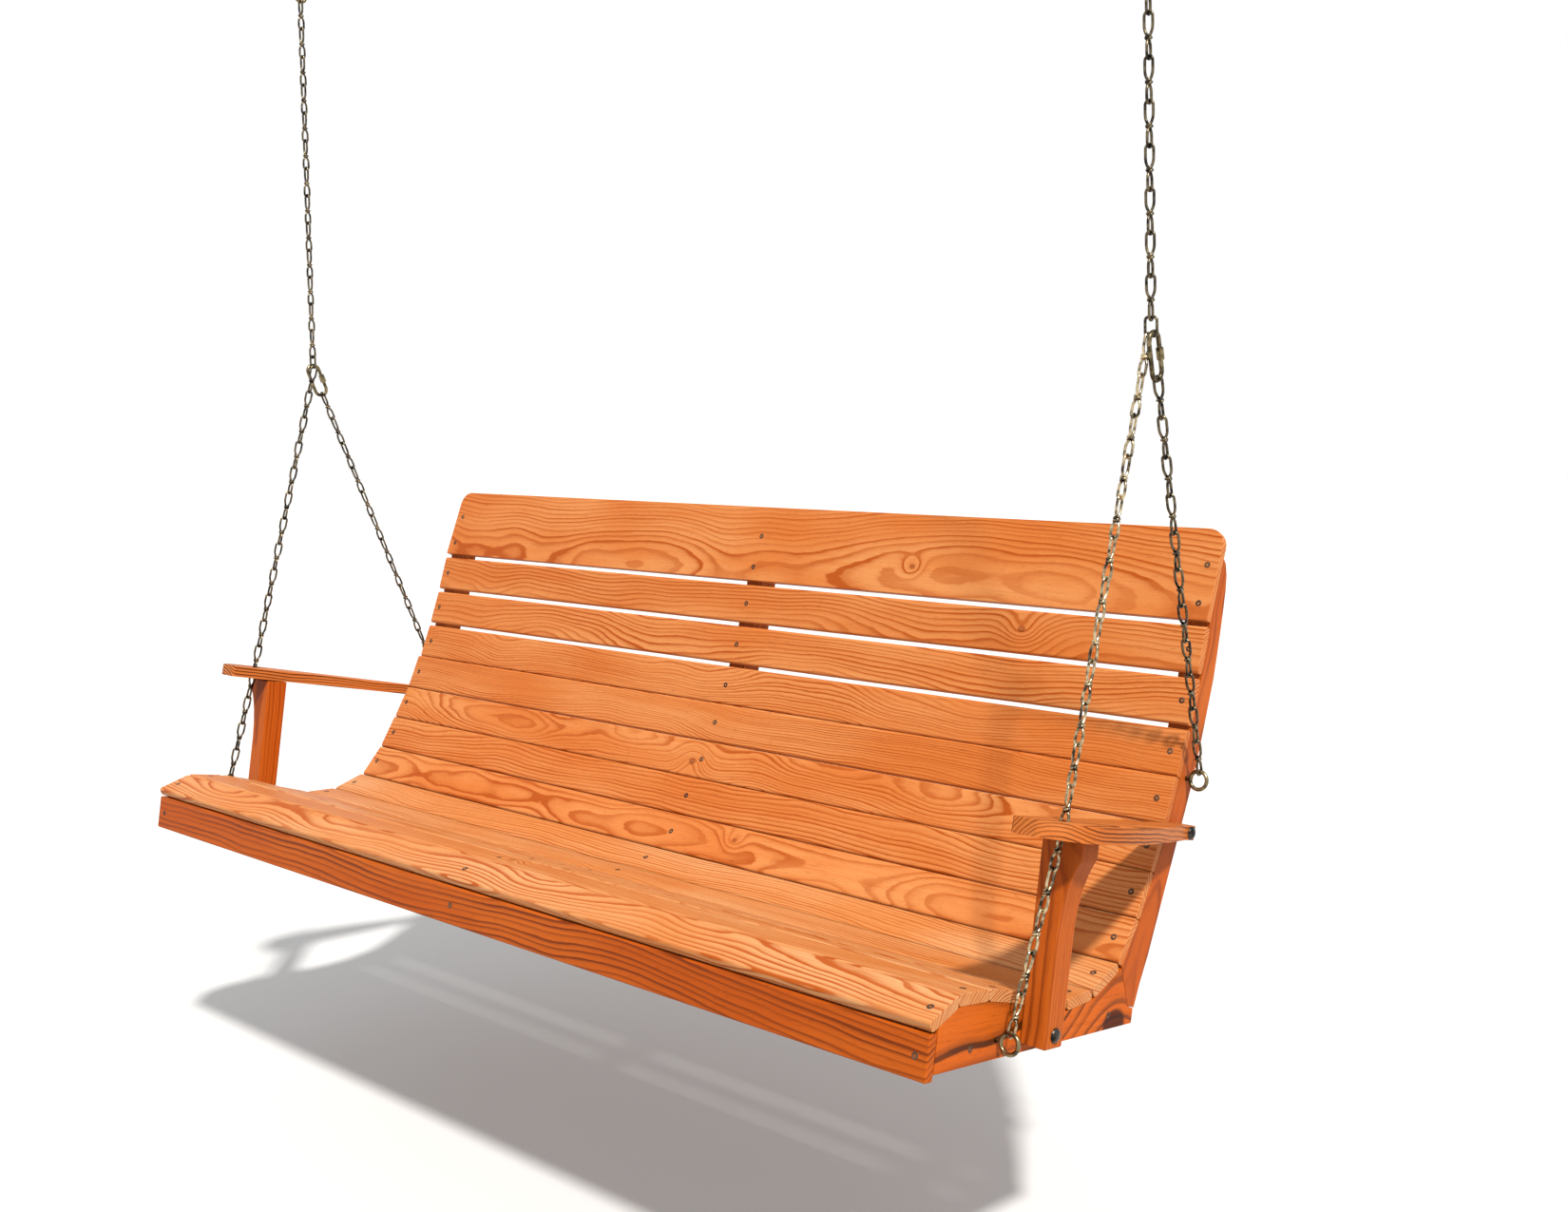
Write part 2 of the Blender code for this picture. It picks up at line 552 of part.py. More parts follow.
TOP_EYE_DROP = 0.0500           # from the ceiling eye's rod to the lower eye of the hook
for side, s in SIDES:
    hang = Vector((s * HANG_X, 0, PIVOT_Z))
    apex = Vector((s * APEX_X, 0, APEX_Z))
    down = (apex - hang).normalized()

    # ceiling hanger: a plate with a bent rod below it
    bpy.ops.mesh.primitive_cube_add(size=1)
    plate = bpy.context.active_object
    plate.name = f"{side}_ceiling_hanger"
    plate.data.transform(Matrix.Diagonal((0.120, 0.042, 0.005, 1)))
    plate.location = (s * HANG_X, 0, -0.0025)
    put(plate, parts)
    rod_r = 0.0040
    bend = []
    for i in range(7):
        t = math.pi / 2 * i / 6
        bend.append((0.016 + 0.008 * math.cos(t), -0.024 - (-PIVOT_Z - 0.024) * math.sin(t)))
    path = [(0.024, -0.003)] + bend + [(-u, v) for u, v in reversed(bend)] + [(-0.024, -0.003)]
    rod = wire(f"{side}_hanger_rod", [(s * HANG_X + u, 0, v) for u, v in path], rod_r, False, 2)
    hide(rod, None)
    boolean(plate, rod, "UNION")
    for e in (-1, 1):
        way = cylinder(f"{side}_hanger_way{e}", 0.0038, 0.03, (s * HANG_X + e * 0.046, 0, -0.0025), "Z", 14)
        hide(way, None)
        boolean(plate, way)
    finish(plate, "plate", None)

    # hook between the ceiling eye and the chain, two open eyes in the YZ plane
    r = 0.0105
    upper = Vector((0, 0, 0)) + down * (r - rod_r - HOOK_WIRE - 0.0004)
    lower = down * (TOP_EYE_DROP - r)
    u_pts = []
    side_y = Vector((0, 1, 0))
    for i in range(12):
        t = math.radians(-60 + 23.6 * i)
        u_pts.append(upper + side_y * (-r * math.cos(t)) - down * (r * math.sin(t)))
    l_pts = []
    for i in range(12):
        t = math.radians(-60 + 23.6 * i)
        l_pts.append(lower + side_y * (r * math.cos(t)) + down * (r * math.sin(t)))
    hook = wire(f"{side}_top_hook", [hang + p for p in u_pts] + [hang + p for p in reversed(l_pts)], HOOK_WIRE, False, 1)
    hook.data.materials.append(material("M_" + hook.name, COL["zinc"], 0.35, 0.9))
    hook.data.shade_smooth()
    hook.parent = swing_axis
    hook.matrix_parent_inverse = swing_axis.matrix_world.inverted()

    # upper run: hangs in the hook's lower eye, its lowest wire is the rock axis
    start = hang + lower + down * (r - HOOK_WIRE - CHAIN_WIRE - 0.0004)
    run_of_chain(f"{side}_upper_chain", [start, apex], [(1, 0, 0), (1, 0, 0)], swing_axis, (), True)

    # front run: through the arm, down to the front eye bolt
    slack = 2 * CHAIN_WIRE + 0.0004
    ring_f = Vector((s * (HALF + EYE_OUT), *hung(*FRONT_EYE)))
    ring_r = Vector((s * (HALF + EYE_OUT), *hung(*REAR_EYE)))
    mid = Vector((s * ARM_HOLE_X, *hung(hole_y, hole_z)))
    first = (mid - apex).normalized()
    last = (ring_f - mid).normalized()
    top_f = apex + Vector((-s * 0.0042, 0, 0)) - first * slack
    ring_top = ring_f + EYE_TOP + last * (EYE_WIRE + CHAIN_WIRE + 0.0005)
    run_of_chain(f"{side}_front_chain", [top_f, ring_top], [(0, 1, 0), (0, 1, 0)], rock_axis, (mid,))

    # quick link at the apex, then the rear run
    towards = (ring_r - apex).normalized()
    q_len, q_half = 0.0610, 0.0120
    q_off = Vector((s * 0.0030, 0, 0))
    q_top = apex + q_off - towards * (CHAIN_WIRE + QUICK_WIRE + 0.0004)
    q_centre = q_top + towards * q_len / 2
    across = Vector((1, 0, 0)).cross(towards).normalized()
    quick = wire(f"{side}_quick_link", in_frame(stadium(q_half, q_len, 6), q_centre, across, towards), QUICK_WIRE, True, 2)
    quick.data.materials.append(material("M_" + quick.name, COL["zinc"], 0.35, 0.9))
    quick.data.shade_smooth()
    quick.parent = rock_axis
    quick.matrix_parent_inverse = rock_axis.matrix_world.inverted()
    sleeve = wire(f"{side}_quick_link_nut", [q_centre + across * q_half - towards * 0.0075, q_centre + across * q_half + towards * 0.0075], 0.0054, False, 1)
    sleeve_way = wire(f"{side}_sleeve_way", [q_centre + across * q_half - towards * 0.02, q_centre + across * q_half + towards * 0.02], QUICK_WIRE + 0.0003, False, 2)
    hide(sleeve_way, None)
    boolean(sleeve, sleeve_way)
    sleeve.data.materials.append(material("M_" + sleeve.name, COL["zinc"], 0.35, 0.9))
    sleeve.parent = rock_axis
    sleeve.matrix_parent_inverse = rock_axis.matrix_world.inverted()

    q_low = q_top + towards * q_len
    r_top = q_low - towards * (QUICK_WIRE + CHAIN_WIRE + 0.0004)
    back_dir = (ring_r - r_top).normalized()
    r_end = ring_r + EYE_TOP + back_dir * (EYE_WIRE + CHAIN_WIRE + 0.0005)
    run_of_chain(f"{side}_rear_chain", [r_top, r_end], [(1, 0, 0), (0, 1, 0)], rock_axis)

bpy.context.view_layer.update()
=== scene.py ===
"""Porch swing: materials, chains, screws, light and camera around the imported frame."""
import bpy
import bmesh
import json
import math
import random
from mathutils import Matrix, Vector


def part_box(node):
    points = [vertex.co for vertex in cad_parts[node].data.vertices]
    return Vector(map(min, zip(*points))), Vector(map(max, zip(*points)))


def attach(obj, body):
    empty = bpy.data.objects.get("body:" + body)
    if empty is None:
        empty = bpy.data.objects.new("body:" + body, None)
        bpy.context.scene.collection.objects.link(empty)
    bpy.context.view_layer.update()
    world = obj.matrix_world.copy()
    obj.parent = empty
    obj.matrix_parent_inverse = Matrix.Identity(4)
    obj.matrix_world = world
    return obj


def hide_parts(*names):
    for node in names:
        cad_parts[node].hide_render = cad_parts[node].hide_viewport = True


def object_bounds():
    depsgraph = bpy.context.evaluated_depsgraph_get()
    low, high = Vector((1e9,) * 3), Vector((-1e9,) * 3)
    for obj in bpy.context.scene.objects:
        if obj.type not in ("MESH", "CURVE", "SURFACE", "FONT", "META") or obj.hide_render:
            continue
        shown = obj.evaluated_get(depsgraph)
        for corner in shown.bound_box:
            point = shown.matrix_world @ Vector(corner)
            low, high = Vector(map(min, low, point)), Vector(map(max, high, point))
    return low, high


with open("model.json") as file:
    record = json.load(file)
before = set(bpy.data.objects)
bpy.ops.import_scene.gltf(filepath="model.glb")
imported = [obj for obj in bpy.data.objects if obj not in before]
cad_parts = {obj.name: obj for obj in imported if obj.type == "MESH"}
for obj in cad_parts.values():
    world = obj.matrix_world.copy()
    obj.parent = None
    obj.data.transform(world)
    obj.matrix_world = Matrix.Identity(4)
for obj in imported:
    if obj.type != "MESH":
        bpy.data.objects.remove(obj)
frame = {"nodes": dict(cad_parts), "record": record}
cad_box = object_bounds()
NODES = frame["nodes"]
BODY = {n: b for b, names in frame["record"]["behaviour"]["bodies"].items() for n in names}

# ---- sizes shared with the frame, in metres ------------------------------
TILT = math.radians(9.9)
CREST = (-0.3225, -0.7675)
HALF = 0.9144
HANG_X, PIVOT_Z, APEX_X, APEX_Z = 0.930, -0.032, 0.960, -0.7720
SUPPORT_X = (-(HALF - 0.01905), 0.0, HALF - 0.01905)


def hung(y, z):
    """World Y and Z of a bench-frame point."""
    c, s = math.cos(TILT), math.sin(TILT)
    return y * c + z * s + CREST[0], -y * s + z * c + CREST[1] + APEX_Z


# ---- small node toolkit ---------------------------------------------------
class Tree:
    def __init__(self, tree):
        self.t = tree

    def n(self, kind, inputs=(), **props):
        node = self.t.nodes.new(kind)
        for key, value in props.items():
            setattr(node, key, value)
        for key, value in (inputs.items() if isinstance(inputs, dict) else enumerate(inputs)):
            if value is None:
                continue
            if isinstance(value, bpy.types.NodeSocket):
                self.t.links.new(value, node.inputs[key])
            else:
                node.inputs[key].default_value = value
        return node

    def m(self, op, a, b=0.0, c=None):
        return self.n("ShaderNodeMath", [a, b] if c is None else [a, b, c], operation=op).outputs[0]

    def noise(self, vector, scale, detail=2.0, rough=0.5, distortion=0.0):
        return self.n("ShaderNodeTexNoise", {"Vector": vector, "Scale": scale, "Detail": detail, "Roughness": rough, "Distortion": distortion}).outputs[0]

    def scaled(self, vector, x, y, z, offset=(0, 0, 0)):
        v = self.n("ShaderNodeVectorMath", {0: vector, 1: (x, y, z), 2: offset}, operation="MULTIPLY_ADD")
        return v.outputs[0]

    def smooth(self, value, lo, hi, out_lo=0.0, out_hi=1.0):
        r = self.n("ShaderNodeMapRange", {"Value": value, "From Min": lo, "From Max": hi, "To Min": out_lo, "To Max": out_hi}, interpolation_type="SMOOTHSTEP")
        return r.outputs[0]

    def mix(self, fac, a, b, blend="MIX"):
        node = self.t.nodes.new("ShaderNodeMix")
        node.data_type, node.blend_type = "RGBA", blend
        for index, value in ((0, fac), (6, a), (7, b)):
            if isinstance(value, bpy.types.NodeSocket):
                self.t.links.new(value, node.inputs[index])
            else:
                node.inputs[index].default_value = value if index == 0 else (*value[:3], 1)
        return node.outputs[2]


def new_material(name):
    mat = bpy.data.materials.new(name)
    mat.use_nodes = True
    tree = mat.node_tree
    tree.nodes.clear()
    out = tree.nodes.new("ShaderNodeOutputMaterial")
    shader = tree.nodes.new("ShaderNodeBsdfPrincipled")
    tree.links.new(shader.outputs[0], out.inputs[0])
    return mat, Tree(tree), shader


def wood(name, along, face, centre, seed, tones, pith=(0.05, 0.07), spacing=0.0052, knots=(), strength=1.0):
    """Stained pine. `along` is the grain, `face` the normal of the show face, `centre` the board's middle.
    Growth rings are shells about a wandering pith line under the board, so faces, edges and ends agree."""
    rng = random.Random(seed)
    along, face = Vector(along).normalized(), Vector(face).normalized()
    wide = face.cross(along).normalized()
    turn = Matrix((along, wide, face)).transposed().to_euler("XYZ")
    mat, t, shader = new_material(name)
    coord = t.n("ShaderNodeTexCoord").outputs["Object"]
    local = t.n("ShaderNodeMapping", {"Vector": coord, "Location": tuple(centre), "Rotation": tuple(turn)}, vector_type="TEXTURE").outputs[0]
    o = [rng.uniform(-40, 40) for _ in range(12)]
    sep = t.n("ShaderNodeSeparateXYZ", [local])
    L, W, T = sep.outputs
    # slow wandering of the pith, sideways and in depth
    side = t.m("SUBTRACT", t.noise(t.scaled(local, 1.3, 1.0, 1.0, (o[0], o[1], o[2])), 1.0, 2.0), 0.5)
    deep = t.m("SUBTRACT", t.noise(t.scaled(local, 2.1, 1.6, 1.6, (o[3], o[4], o[5])), 1.0, 2.0), 0.5)
    ripple = t.m("SUBTRACT", t.noise(t.scaled(local, 7.0, 26.0, 26.0, (o[6], o[7], o[8])), 1.0, 3.0, 0.55), 0.5)
    w = t.m("ADD", t.m("ADD", W, rng.choice((-1, 1)) * pith[0] * rng.uniform(0.2, 1.0)), t.m("MULTIPLY", side, 0.10))
    d = t.m("ADD", t.m("ADD", T, pith[1] * rng.uniform(0.8, 1.3)), t.m("MULTIPLY", deep, 0.085))
    r = t.m("SQRT", t.m("ADD", t.m("MULTIPLY", w, w), t.m("MULTIPLY", d, d)))
    r = t.m("ADD", r, t.m("MULTIPLY", ripple, 0.0062))
    core = None
    for kl, kw, kr in knots:
        dl = t.m("MULTIPLY", t.m("SUBTRACT", L, kl), 0.72)
        dw = t.m("SUBTRACT", W, kw)
        dist = t.m("SQRT", t.m("ADD", t.m("MULTIPLY", dl, dl), t.m("MULTIPLY", dw, dw)))
        swell = t.m("EXPONENT", t.m("MULTIPLY", t.m("MULTIPLY", dist, dist), -1.0 / (2 * (2.6 * kr) ** 2)))
        r = t.m("ADD", r, t.m("MULTIPLY", swell, 2.4 * kr))
        wob = t.m("ADD", dist, t.m("MULTIPLY", ripple, 0.25 * kr))
        spot = t.smooth(wob, kr, 0.72 * kr)
        core = spot if core is None else t.m("MAXIMUM", core, spot)
    # good years and poor years: the rings are unevenly wide, and some are darker
    years = t.n("ShaderNodeCombineXYZ", [t.m("MULTIPLY", r, 0.45 / spacing), o[0], o[5]]).outputs[0]
    r = t.m("ADD", r, t.m("MULTIPLY", t.m("SUBTRACT", t.noise(years, 1.0, 1.0), 0.5), 1.25 * spacing))
    bold = t.smooth(t.noise(t.n("ShaderNodeCombineXYZ", [t.m("MULTIPLY", r, 0.8 / spacing), o[7], o[2]]).outputs[0], 1.0, 1.0), 0.30, 0.68, 0.55, 1.15)
    phase = t.m("FRACT", t.m("DIVIDE", r, spacing))
    ramp = t.n("ShaderNodeValToRGB", [phase])
    ramp.color_ramp.interpolation = "EASE"
    stops = ramp.color_ramp.elements
    stops[0].position, stops[0].color = 0.0, (0.10, 0.10, 0.10, 1)
    stops[1].position, stops[1].color = 1.0, (0.14, 0.14, 0.14, 1)
    for place, v in ((0.08, 0.0), (0.40, 0.08), (0.62, 0.40), (0.76, 0.95), (0.92, 1.0)):
        e = stops.new(place)
        e.color = (v, v, v, 1)
    ring = ramp.outputs[0]
    # ring contrast comes and goes along the board
    patch = t.smooth(t.noise(t.scaled(local, 3.0, 14.0, 14.0, (o[9], o[10], o[11])), 1.0, 2.0), 0.30, 0.66, 0.50, 1.0)
    ring = t.m("MULTIPLY", t.m("MULTIPLY", ring, bold), t.m("MULTIPLY", patch, strength))
    fibre = t.noise(t.scaled(local, 9.0, 620.0, 620.0, (o[2], o[5], o[8])), 1.0, 2.0, 0.6)
    streak = t.noise(t.scaled(local, 2.2, 85.0, 85.0, (o[1], o[4], o[7])), 1.0, 2.0, 0.5)
    cloud = t.noise(t.scaled(local, 2.6, 9.0, 9.0, (o[0], o[6], o[3])), 1.0, 2.0, 0.5)
    light, mid, dark, black = tones
    base = t.mix(t.smooth(cloud, 0.32, 0.70), light, mid)
    base = t.mix(t.m("MULTIPLY", t.smooth(streak, 0.42, 0.72), 0.42), base, mid)
    colour = t.mix(ring, base, dark)
    colour = t.mix(t.m("MULTIPLY", t.smooth(fibre, 0.50, 0.75), 0.30), colour, dark)
    pores = t.noise(t.scaled(local, 55.0, 1500.0, 1500.0, (o[4], o[2], o[9])), 1.0, 1.0)
    colour = t.mix(t.m("MULTIPLY", t.smooth(pores, 0.66, 0.74), 0.55), colour, black)
    rough = t.m("ADD", t.m("MULTIPLY", ring, -0.07), t.m("ADD", t.m("MULTIPLY", streak, 0.16), 0.44))
    height = t.m("ADD", t.m("MULTIPLY", ring, 0.55), t.m("ADD", t.m("MULTIPLY", fibre, 0.50), t.m("MULTIPLY", pores, 0.25)))
    if core is not None:
        rings = t.n("ShaderNodeMath", [t.m("MULTIPLY", r, 900.0)], operation="SINE").outputs[0]
        heart = t.mix(t.smooth(rings, -0.6, 0.9), (dark[0] * 0.55, dark[1] * 0.42, dark[2] * 0.5), (black[0] * 0.9, black[1] * 0.8, black[2]))
        colour = t.mix(t.m("MULTIPLY", core, 0.92 if knots[0][2] > 0.02 else 0.60), colour, heart)
        height = t.m("SUBTRACT", height, t.m("MULTIPLY", core, 0.5))
    bump = t.n("ShaderNodeBump", {"Strength": 0.32, "Distance": 0.00055, "Height": height})
    t.t.links.new(bump.outputs[0], shader.inputs["Normal"])
    t.t.links.new(colour, shader.inputs["Base Color"])
    t.t.links.new(rough, shader.inputs["Roughness"])
    shader.inputs["Specular IOR Level"].default_value = 0.09
    return mat


def metal(name, base, dark, roughness, metallic=0.92, grain=700.0, bump=0.0001, spots=None, coords="Object"):
    """Plated or blackened steel with a fine uneven film and broad darker patches: stains, and on the chains painted
    reflections of dark surroundings.
    """
    mat, t, shader = new_material(name)
    coord = t.n("ShaderNodeTexCoord").outputs[coords]
    fine = t.noise(t.scaled(coord, grain, grain, grain), 1.0, 3.0, 0.6)
    # broad dark patches: on the chain materials painted reflections of dark surroundings, on the other metals stains
    broad = t.noise(t.scaled(coord, 95.0, 95.0, 95.0, (3.1, 7.7, 1.9)), 1.0, 3.0, 0.6)
    colour = t.mix(t.smooth(broad, 0.36, 0.66), base, dark)
    colour = t.mix(t.m("MULTIPLY", t.smooth(fine, 0.52, 0.80), 0.35), colour, dark)
    if spots:
        rust = t.noise(t.scaled(coord, 210.0, 210.0, 210.0, (9.0, 2.0, 5.0)), 1.0, 3.0, 0.65)
        colour = t.mix(t.smooth(rust, 0.60, 0.72), colour, spots)
    t.t.links.new(colour, shader.inputs["Base Color"])
    t.t.links.new(t.m("ADD", t.m("MULTIPLY", fine, 0.22), roughness - 0.08), shader.inputs["Roughness"])
    b = t.n("ShaderNodeBump", {"Strength": 0.3, "Distance": bump, "Height": fine})
    t.t.links.new(b.outputs[0], shader.inputs["Normal"])
    shader.inputs["Metallic"].default_value = metallic
    return mat


# ---- meshes ---------------------------------------------------------------
def link_in(obj, node_names, body):
    if obj.name not in bpy.context.scene.collection.all_objects:
        bpy.context.scene.collection.objects.link(obj)
    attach(obj, body)
    if node_names:
        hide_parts(*node_names)
    return obj


def refined(node, mat, edge=0.0, segments=3, smooth_angle=42):
    """The node's own shape with its facets joined up, its hard edges eased and smooth rounds."""
    src = NODES[node]
    bm = bmesh.new()
    bm.from_mesh(src.data)
    bmesh.ops.remove_doubles(bm, verts=bm.verts, dist=0.00002)
    bmesh.ops.dissolve_limit(bm, angle_limit=math.radians(0.6), verts=bm.verts, edges=bm.edges)
    bmesh.ops.recalc_face_normals(bm, faces=bm.faces)
    if edge:
        sharp = [e for e in bm.edges if len(e.link_faces) == 2 and e.calc_face_angle(0) > math.radians(35)]
        bmesh.ops.bevel(bm, geom=sharp, offset=edge, segments=segments, profile=0.5, affect="EDGES", clamp_overlap=True)
    mesh = bpy.data.meshes.new(node + "_look")
    bm.to_mesh(mesh)
    bm.free()
    mesh.shade_smooth()
    mesh.set_sharp_from_angle(angle=math.radians(smooth_angle))
    obj = bpy.data.objects.new(node + "_look", mesh)
    mesh.materials.append(mat)
    link_in(obj, [node], BODY[node])
    mod = obj.modifiers.new("weighted", "WEIGHTED_NORMAL")
    mod.keep_sharp = True
    return obj


def show_face(node):
    """Unit normal, pointing up or to the front, of a board's largest face."""
    mesh = NODES[node].data
    best, total = None, {}
    for p in mesh.polygons:
        key = (round(p.normal.x, 1), round(p.normal.y, 2), round(p.normal.z, 2))
        total[key] = total.get(key, 0) + p.area
        if best is None or total[key] > total[best[0]]:
            best = (key, p.normal.copy())
    n = best[1]
    return -n if (n.z - n.y) < 0 else n


def middle_of(node):
    lo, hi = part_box(node)
    return (lo + hi) / 2


# ---- wood tones (light early wood, mid, late wood, pores) -----------------
# The seat tones are lighter and the apron tones darker than one stain alone gives: partly real stain difference, partly
# painted light on the seat's sunlit top and painted shade on the apron's front face.
SEAT = ((0.440, 0.212, 0.088), (0.405, 0.148, 0.041), (0.275, 0.055, 0.005), (0.100, 0.018, 0.002))
BACK = ((0.452, 0.176, 0.055), (0.405, 0.115, 0.023), (0.275, 0.052, 0.004), (0.090, 0.014, 0.001))
APRON = ((0.365, 0.074, 0.005), (0.310, 0.052, 0.002), (0.120, 0.019, 0.001), (0.040, 0.007, 0.001))
FRAME = ((0.375, 0.083, 0.009), (0.325, 0.059, 0.004), (0.165, 0.027, 0.002), (0.050, 0.009, 0.001))
ARM = ((0.440, 0.142, 0.036), (0.380, 0.095, 0.015), (0.085, 0.016, 0.001), (0.045, 0.008, 0.001))
SIDE = ((0.420, 0.084, 0.005), (0.360, 0.060, 0.002), (0.060, 0.012, 0.001), (0.025, 0.005, 0.001))

X = Vector((1, 0, 0))
back_dir = Vector((0, *hung(0.50, 0.20))) - Vector((0, *hung(0.42, -0.03)))
seat_dir = Vector((0, math.cos(TILT), -math.sin(TILT)))
bench_up = Vector((0, math.sin(TILT), math.cos(TILT)))
arm_dir = (seat_dir * math.cos(math.radians(2.9)) - bench_up * math.sin(math.radians(2.9))).normalized()

KNOTS = {
    "back_slat_7": [(0.60, 0.004, 0.0062)], "back_slat_3": [(-0.02, -0.006, 0.0070)],
    "seat_slat_2": [(0.02, 0.008, 0.0060)], "seat_slat_3": [(0.09, -0.006, 0.0085)],
    "back_slat_1": [(0.15, 0.010, 0.0050)], "top_board": [(0.36, -0.022, 0.0050)],
    "seat_slat_5": [(-0.55, 0.010, 0.0060)],
}

for node in sorted(NODES):
    if node.startswith("seat_slat"):
        k = int(node[-1])
        face = show_face(node)
        refined(node, wood("wood_" + node, X, face, middle_of(node), 100 + k, SEAT, (0.085, 0.060), 0.0044 + 0.0006 * (k % 3), KNOTS.get(node, ()), 1.12), 0.0005, 1)
    elif node.startswith("back_slat"):
        k = int(node[-1])
        fine = 0.0036 if k in (3, 4, 5) else 0.0052
        refined(node, wood("wood_" + node, X, show_face(node), middle_of(node), 200 + k, BACK, (0.06 if k not in (3, 4, 5) else 0.09, 0.055), fine, KNOTS.get(node, ()), 1.12), 0.0005, 1)
    elif node == "top_board":
        refined(node, wood("wood_" + node, X, show_face(node), middle_of(node), 311, BACK, (0.07, 0.085), 0.0054, KNOTS.get(node, ()), 1.05))
    elif node == "front_apron":
        refined(node, wood("wood_" + node, X, show_face(node), middle_of(node), 403, APRON, (0.30, 0.05), 0.0074, KNOTS.get(node, ()), 1.0), 0.0022, 3)
    elif node.endswith("seat_support"):
        side = X if "right" in node or "middle" in node else -X
        spots = [(0.180, -0.029, 0.0250)] if "right" in node else []
        refined(node, wood("wood_" + node, seat_dir, side, middle_of(node), 500 + len(node), SIDE, (0.02, 0.045), 0.0125, spots, 1.0), 0.0011)
    elif node.endswith("back_support"):
        side = X if "right" in node or "middle" in node else -X
        refined(node, wood("wood_" + node, back_dir, side, middle_of(node), 520 + len(node), FRAME, (0.05, 0.055), 0.0060, (), 0.85), 0.0011)
    elif node.endswith("_arm"):
        refined(node, wood("wood_" + node, arm_dir, bench_up, middle_of(node), 615 + len(node), ARM, (0.020, 0.050), 0.0052, (), 1.8), 0.0030, 4)
    elif node.endswith("arm_post"):
        refined(node, wood("wood_" + node, bench_up, -seat_dir, middle_of(node), 630 + len(node), FRAME, (0.02, 0.05), 0.0064, (), 0.8), 0.0022, 3)

# ---- metal ----------------------------------------------------------------
# Lit and shaded copies of one plated chain: the right front chain gets a light base for painted highlights, the other
# chains a dark base for painted shade, as if backlit; the spots are rust.
chain_lit_mat = metal("chain_plated_lit", (0.60, 0.48, 0.29), (0.035, 0.028, 0.020), 0.20, 0.97, 520.0, 0.0001, (0.050, 0.020, 0.006))
chain_shade_mat = metal("chain_painted_shade", (0.170, 0.135, 0.080), (0.018, 0.016, 0.015), 0.26, 0.97, 520.0, 0.0001, (0.040, 0.018, 0.006))
zinc_mat = metal("zinc_plated", (0.27, 0.21, 0.11), (0.05, 0.04, 0.022), 0.25, 0.96)
dark_mat = metal("blackened_steel", (0.060, 0.050, 0.042), (0.010, 0.009, 0.008), 0.30, 0.90)
plate_mat = metal("hanger_coated", (0.24, 0.24, 0.245), (0.10, 0.10, 0.10), 0.48, 0.6)
screw_mat = metal("screw_steel", (0.130, 0.090, 0.055), (0.025, 0.016, 0.010), 0.38, 0.90)
sink_mat = metal("screw_sink", (0.075, 0.018, 0.004), (0.025, 0.007, 0.002), 0.75, 0.0)

for node in sorted(NODES):
    if node.endswith(("eye_bolt", "eye_nut")):
        refined(node, zinc_mat, 0.0006 if node.endswith("nut") else 0.0, 2, 48)
    elif node.endswith(("post_bolt", "arm_bolt", "post_nut", "arm_nut")):
        refined(node, dark_mat, 0.0006 if node.endswith("nut") else 0.0, 2, 48)
    elif node.endswith("ceiling_hanger"):
        refined(node, plate_mat, 0.0006, 2, 48)


# ---- chains ---------------------------------------------------------------
WIRE = 0.00190


def wire_object(name, loops, radius, mat, nodes, body, resolution=3):
    curve = bpy.data.curves.new(name, "CURVE")
    curve.dimensions, curve.bevel_depth, curve.bevel_resolution, curve.use_fill_caps = "3D", radius, resolution, True
    for points, cyclic in loops:
        spline = curve.splines.new("POLY")
        spline.points.add(len(points) - 1)
        for p, co in zip(spline.points, points):
            p.co = (*co, 1)
        spline.use_cyclic_u = cyclic
        spline.use_smooth = True
    curve.materials.append(mat)
    obj = bpy.data.objects.new(name, curve)
    return link_in(obj, nodes, body)


def double_loop(top, bottom, u, rng):
    """One link of double-loop chain: a long loop above in the plane of u, a short one below at a right angle,
    and the two strands wound round each other between them."""
    axis = (Vector(bottom) - Vector(top))
    total = axis.length
    axis.normalize()
    u = (u - axis * u.dot(axis)).normalized()
    v = axis.cross(u)
    twist = rng.uniform(-0.10, 0.10)
    u, v = u * math.cos(twist) + v * math.sin(twist), v * math.cos(twist) - u * math.sin(twist)
    knot = total * 0.55
    half = 0.0027
    wide, narrow = 0.0058, 0.0050
    pts = []

    def loop(start_s, crown_s, width, direction, sign):
        """Out from the knot, along the straight leg, round the crown and back."""
        way = 1 if crown_s > start_s else -1
        bend = crown_s - way * width
        leg = [(0.0, 0.36), (0.14, 0.66), (0.32, 0.92), (0.52, 1.0), (0.80, 1.0)]
        out = [(start_s + (bend - start_s) * f, direction * width * w * sign) for f, w in leg]
        for i in range(9):
            t = math.pi * i / 8
            out.append((bend + way * width * math.sin(t), direction * width * math.cos(t) * sign))
        out += [(start_s + (bend - start_s) * f, -direction * width * w * sign) for f, w in reversed(leg)]
        return out

    up = loop(knot - half, 0.0, wide, u, 1)
    down = loop(knot + half, total, narrow, v, 1)
    wound = 0.0033

    def coil(a0, a1, s0, s1, steps=7):
        out = []
        for i in range(1, steps):
            k = i / steps
            a = a0 + (a1 - a0) * k
            out.append((s0 + (s1 - s0) * k, (u * math.cos(a) + v * math.sin(a)) * wound))
        return out

    pts += up
    pts += coil(math.pi, math.pi * 2.5, knot - half, knot + half, 9)
    pts += down
    pts += coil(-math.pi * 0.5, -math.pi * 2.0, knot + half, knot - half, 9)
    return [Vector(top) + axis * s + off for s, off in pts]


def along_path(path, distance):
    for a, b in zip(path, path[1:]):
        step = (b - a).length
        if distance <= step or b is path[-1]:
            return a + (b - a) * (distance / step)
        distance -= step


